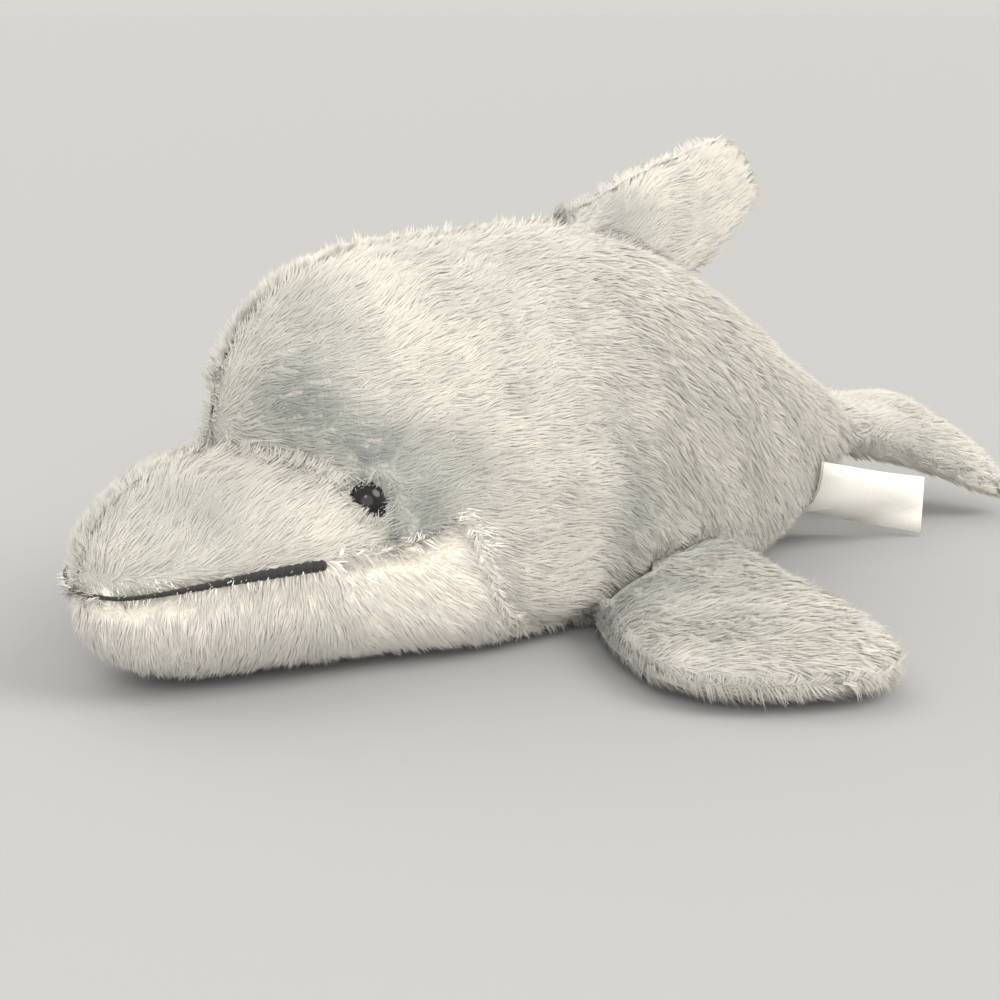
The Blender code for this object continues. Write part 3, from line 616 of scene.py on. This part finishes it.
def cell_map(mesh, count):
    """UV map that gives each tuft its own cell, with its root on the left and its tip on the right."""
    cells = math.ceil(math.sqrt(count))
    corner = np.array([[0.15 + 0.7 * z, 0.5 + 0.35 * x] for x, y, z in TUFT_PLACES[TUFT_FACES.ravel()]])
    index = np.arange(count)
    origin = np.stack([index % cells, index // cells], axis=1)
    spots = (origin[:, None] + corner[None]) / cells
    mesh.uv_layers.new(name=CELL_MAP).data.foreach_set("uv", spots.ravel())


# Body pile
# The nap runs back from the beak over the head, then down the flanks behind the flippers. On the
# white jaw it runs down. It closes over each seam, over the rims of the eyes and the beak's tip.
EYE_COVER = 0.0050          # pile rooted this near an eye hangs over its rim
EYE_DRAW = 0.9              # turned towards the eye by this share
EYE_RISE = 15.0             # and lifted by this many degrees
FIN_COVER = 0.0070          # pile rooted this near a fin's root rises against it
FIN_DRAW = 0.8
FIN_RISE = 36.0
MOUTH_CLEAR = 0.0006        # no pile is rooted nearer to the thread than this
MOUTH_CORNER = (-0.185, -0.150)   # the mouth's tip gives way to its corners between these, along Y
MOUTH_CLOSE = (0.0010, 0.0060)    # at the tip, pile rooted this near the thread closes over it
MOUTH_OPEN = (0.002, 0.006)       # at the corners, pile rooted this near the thread stays off it
MOUTH_FLAT = 12.0           # the pile that closes over the thread at the beak's tip lies lower by this
BLEND_REACH = 0.0050        # white and grey mix this near the seam between them
BLEND_BEHIND = (-0.135, -0.115)   # behind the mouth, fading in between these along Y


def body_guide(roots):
    """Nap of the grey body: back over the head, then down the flanks behind the flippers."""
    head = 1 - smooth_step(roots[:, 1], -0.065, 0.015)[:, None]
    return np.array([0.0, 1.0, 0.1]) * head + np.array([0.0, 0.45, -1.0]) * (1 - head)


def beak_guide(roots):
    """Nap of the beak: back and up from the mouth."""
    return np.tile([0.0, 1.0, 0.45], (len(roots), 1))


def belly_guide(roots):
    """Nap of the white panel: down on the jaw, down and back on the cheeks and belly."""
    jaw = 1 - smooth_step(roots[:, 1], -0.15, -0.09)[:, None]
    return np.array([0.0, -0.2, -1.0]) * jaw + np.array([0.0, 0.8, -0.6]) * (1 - jaw)


eyes_tree = tree_of("eye_left", "eye_right")
mouth_tree = tree_of("mouth_thread")
fins_tree = tree_of(*FIN_LAYERS)
BODY_NAP = {
    "back_panel_left": body_guide,
    "back_panel_right": body_guide,
    "beak_panel_left": beak_guide,
    "beak_panel_right": beak_guide,
    "belly_panel": belly_guide,
}
for node, nap in BODY_NAP.items():
    kind = BODY_PANELS[node]
    others = tree_of(*(other for other in BODY_PANELS if other != node))
    across_seam = tree_of(*(other for other in BODY_PANELS if BODY_PANELS[other] != kind))
    roots, lie = scatter(skins[node], filling_tree, others)
    to_eye, eye_gap = nearest(eyes_tree, roots)
    to_mouth, mouth_gap = nearest(mouth_tree, roots)
    corner = smooth_step(roots[:, 1], *MOUTH_CORNER)
    kept = (eye_gap > ROOT_DEPTH) & (mouth_gap > MOUTH_CLEAR)
    roots, lie, to_eye, eye_gap = roots[kept], lie[kept], to_eye[kept], eye_gap[kept]
    to_mouth, mouth_gap, corner = to_mouth[kept], mouth_gap[kept], corner[kept]
    guide = unit(nap(roots))
    closing = ((1 - smooth_step(mouth_gap, *MOUTH_CLOSE)) * (1 - corner))[:, None]
    guide = guide * (1 - closing) + to_mouth * closing
    drawn = (1 - smooth_step(eye_gap, 0.001, EYE_COVER))[:, None] * EYE_DRAW
    guide = guide * (1 - drawn) + to_eye * drawn
    to_fin, fin_gap = nearest(fins_tree, roots)
    raised = (1 - smooth_step(fin_gap, 0.001, FIN_COVER))[:, None] * FIN_DRAW
    guide = guide * (1 - raised) + to_fin * raised
    behind = smooth_step(roots[:, 1], *BLEND_BEHIND)
    blend = 0.5 * (1 - smooth_step(nearest(across_seam, roots)[1], 0.0, BLEND_REACH)) * behind
    open_mouth = (1 - smooth_step(mouth_gap, *MOUTH_OPEN)) * (0.35 + 0.65 * corner)
    pile(
        node.replace("panel", "pile"),
        kind,
        roots,
        lie,
        guide,
        others,
        lean=(1 - open_mouth) * (1 - drawn[:, 0]),
        rise=EYE_RISE * drawn[:, 0] + FIN_RISE * raised[:, 0] - MOUTH_FLAT * closing[:, 0],
        stretch=1 + 0.2 * raised[:, 0] - 0.25 * closing[:, 0],
        blend=blend,
    )

# Fin pile
# The nap of the fins, flippers and flukes runs from their roots to their tips. Near the body the pile
# takes more of the dark cool grey, partly the fins' own cooler grey and partly painted shade at the
# join, and it closes over the seam round each rim.
ROOT_CLEAR = 0.0008         # no pile is rooted nearer to the body than this
panels_tree = tree_of(*BODY_PANELS)


def fin_nap(node, roots):
    """Nap of a fin, and its share of the dark cool grey: its cooler tone, and painted shade towards the
    body.
    """
    ones = np.ones(len(roots))
    if node.startswith("dorsal"):
        way = np.tile([0.0, 0.85, 0.5], (len(roots), 1))
        return way, 0.15 * (1 - smooth_step(roots[:, 2], 0.115, 0.138))
    if node.startswith("fluke"):
        way = np.stack([roots[:, 0] / 0.05, ones, -0.2 * ones], axis=1)
        return way, 0.25 * (1 - smooth_step(roots[:, 1], 0.145, 0.180))
    way = np.stack([np.sign(roots[:, 0]), 0.25 * ones, -0.15 * ones], axis=1)
    return way, 0.12 + 0.45 * (1 - smooth_step(np.abs(roots[:, 0]), 0.070, 0.135))


for node, other in FIN_LAYERS.items():
    roots, lie = scatter(skins[node], tree_of(other), tree_of(other, *BODY_PANELS))
    kept = nearest(panels_tree, roots)[1] > ROOT_CLEAR
    nap, cool_shade_and_tone = fin_nap(node, roots[kept])
    pile(node + "_pile", GREY, roots[kept], lie[kept], nap, tree_of(other), cool_shade_and_tone=cool_shade_and_tone)

# Eyes
# Two black plastic safety eyes, polished, set deep in the pile. Tufts from above and behind, and
# from below and in front, hang over each eye and leave an oval along the crease.
EYE_SINK = 0.0014           # the dome sits this much deeper than the solid eye
LID_WAY = (0.40, 0.50, 0.74)  # the way that the upper lid of the left eye lies from the eye
LID_TUFTS = 230
LID_RING = (0.0070, 0.0086)     # how far from the eye's middle the tufts of its lids are rooted
LID_HEIGHT = (0.0006, 0.0018)   # and how far along its axis
LID_RISE = 12.0
LID_STRETCH = 0.80
LID_SPREAD = 21.25          # degrees, the standard spread of a lid's tufts round the rim
# Painted shade round the eyes: the lids' tufts take this share of the dark cool grey
LID_PAINTED_SHADE = 0.3
gloss = Finish("black_gloss", (0.010, 0.010, 0.012), 0.10, Specular_IOR_Level=0.35)
haze = gloss.noise(500, detail=4)
gloss.feed("Roughness", 0.09 + haze * 0.10)
gloss.feed("Base Color", gloss.mix(haze, (0.004, 0.004, 0.005, 1), (0.010, 0.010, 0.011, 1)))
for side in ("left", "right"):
    node = "eye_" + side
    eye = from_bmesh(node + "_dome", merged_copy(node), gloss)
    round_off = eye.modifiers.new("round_off", "SUBSURF")
    round_off.levels = round_off.render_levels = 2
    rim = np.array([vert.co for vert in eye.data.vertices])
    stem = np.array([vert.co for vert in node_object("eye_washer_" + side).data.vertices]).mean(axis=0)
    axis = unit(rim.mean(axis=0) - stem)
    eye.data.transform(Matrix.Translation(-Vector(axis) * EYE_SINK))
    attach(eye, "root")
    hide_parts(node)
    above = np.array(LID_WAY) * [1 if side == "left" else -1, 1, 1]
    above = unit(above - axis * (above @ axis))
    beside = np.cross(axis, above)
    angles = np.radians(rng.normal(0, LID_SPREAD, LID_TUFTS)) + math.pi * rng.integers(0, 2, LID_TUFTS)
    spokes = above * np.cos(angles)[:, None] + beside * np.sin(angles)[:, None]
    roots = rim.mean(axis=0) + spokes * rng.uniform(*LID_RING, (LID_TUFTS, 1))
    roots += axis * rng.uniform(*LID_HEIGHT, (LID_TUFTS, 1))
    pile(
        "eye_lids_" + side,
        GREY,
        roots,
        np.tile(axis, (LID_TUFTS, 1)),
        -spokes,
        eyes_tree,
        cool_shade_and_tone=LID_PAINTED_SHADE,
        lean=0.0,
        rise=LID_RISE,
        stretch=LID_STRETCH,
    )

# Mouth
# Thick black embroidery thread, three strands twisted, drawn down at each stitch. It is thickest
# at the mouth's corners.
RING_SPACING = 0.0022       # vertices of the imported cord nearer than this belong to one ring
MOUTH_MIDDLE = -0.120       # the mouth curves round this place on Y
STRANDS = 3
STRAND_DEPTH = 0.14         # depth of the grooves between strands, as a share of the radius
TWIST_PITCH = 0.0042
STITCH_LENGTH = 0.0052
STITCH_PINCH = 0.16         # the thread is this share thinner where a stitch ends
THREAD_STEP = 0.00035
THREAD_SIDES = 18
THREAD_AT_CORNER = 0.00185  # radius at the mouth's corners
THREAD_AT_TIP = 0.00070     # and at the beak's tip
THREAD_SINK = 0.0026        # the thread lies this much deeper at the beak's tip


def ring_centres(node, spacing):
    """Centres of the rings of vertices that a packed cord is made of."""
    left = [vert.co.copy() for vert in merged_copy(node).verts]
    centres = []
    while left:
        group = [spot for spot in left if (spot - left[0]).length < spacing]
        left = [spot for spot in left if (spot - left[0]).length >= spacing]
        centres.append(sum(group, Vector()) / len(group))
    return centres


def smooth_route(points, step):
    """Evenly spaced points on a smooth curve through some points, and how far along each one is."""
    knots = [2 * points[0] - points[1], *points, 2 * points[-1] - points[-2]]
    dense = []
    for a, b, c, d in zip(knots, knots[1:], knots[2:], knots[3:]):
        square, cube = 2 * a - 5 * b + 4 * c - d, 3 * b - a - 3 * c + d
        for k in range(24):
            t = k / 24
            dense.append((2 * b + (c - a) * t + square * t * t + cube * t ** 3) / 2)
    dense = np.array([*dense, points[-1]])
    run = np.concatenate([[0], np.cumsum(np.linalg.norm(np.diff(dense, axis=0), axis=1))])
    at = np.linspace(0, run[-1], int(run[-1] / step))
    return np.stack([np.interp(at, run, dense[:, k]) for k in range(3)], axis=1), at


centres = ring_centres("mouth_thread", RING_SPACING)
centres.sort(key=lambda spot: math.atan2(spot.x, MOUTH_MIDDLE - spot.y))
route, run = smooth_route(centres, THREAD_STEP)
half_run = np.abs(run - run[-1] / 2) / (run[-1] / 2)
route[:, 1] += THREAD_SINK * (1 - smooth_step(half_run, 0.05, 0.40))
radius = THREAD_AT_TIP + (THREAD_AT_CORNER - THREAD_AT_TIP) * smooth_step(half_run, 0.25, 1.0)
radius *= 1 - STITCH_PINCH * np.cos(run * 2 * math.pi / STITCH_LENGTH) ** 8
end = np.clip((1 - half_run) * (run[-1] / 2) / THREAD_AT_CORNER, 0, 1)
radius *= np.sqrt(np.maximum(1 - (1 - end) ** 2, 0.01))
bm = bmesh.new()
rings = []
ahead = unit(np.gradient(route, axis=0))
for spot, way, size, at in zip(route, ahead, radius, run):
    side = Vector(way).cross(Vector((0, 0, 1))).normalized()
    up = side.cross(Vector(way))
    ring = []
    for k in range(THREAD_SIDES):
        angle = 2 * math.pi * k / THREAD_SIDES
        groove = 1 - abs(math.cos((angle - at * 2 * math.pi / TWIST_PITCH) * STRANDS / 2))
        reach = float(size * (1 - STRAND_DEPTH * groove))
        spoke = (side * math.cos(angle) + up * math.sin(angle)) * reach
        ring.append(bm.verts.new(Vector(spot) + spoke))
    rings.append(ring)
for first, second in zip(rings, rings[1:]):
    for k in range(THREAD_SIDES):
        bm.faces.new((first[k], first[k - 1], second[k - 1], second[k]))
bm.faces.new(rings[0][::-1])
bm.faces.new(rings[-1])
bmesh.ops.recalc_face_normals(bm, faces=bm.faces)
yarn = Finish("black_yarn", (0.012, 0.011, 0.012), 0.7, Sheen_Weight=0.15)
fuzz = yarn.noise(1800, detail=2)
yarn.feed("Base Color", yarn.mix(fuzz, (0.006, 0.006, 0.007, 1), (0.026, 0.025, 0.026, 1)))
yarn.bump(fuzz, 0.0005)
thread = from_bmesh("mouth_stitches", bm, yarn)
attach(thread, "root")
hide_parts("mouth_thread")

# Label
# A folded satin ribbon with woven edges, sewn into the left side seam near the tail. It is bare.
satin = Finish("label_satin", (0.86, 0.85, 0.82), 0.42, Sheen_Weight=0.2)
label = from_bmesh("label_ribbon", merged_copy("sewn_label"), satin)
weave = satin.noise(2500, detail=1)
satin.feed("Base Color", satin.mix(weave, (0.80, 0.79, 0.76, 1), (0.90, 0.89, 0.86, 1)))
satin.bump(weave, 0.0002)
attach(label, "root")
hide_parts("sewn_label")
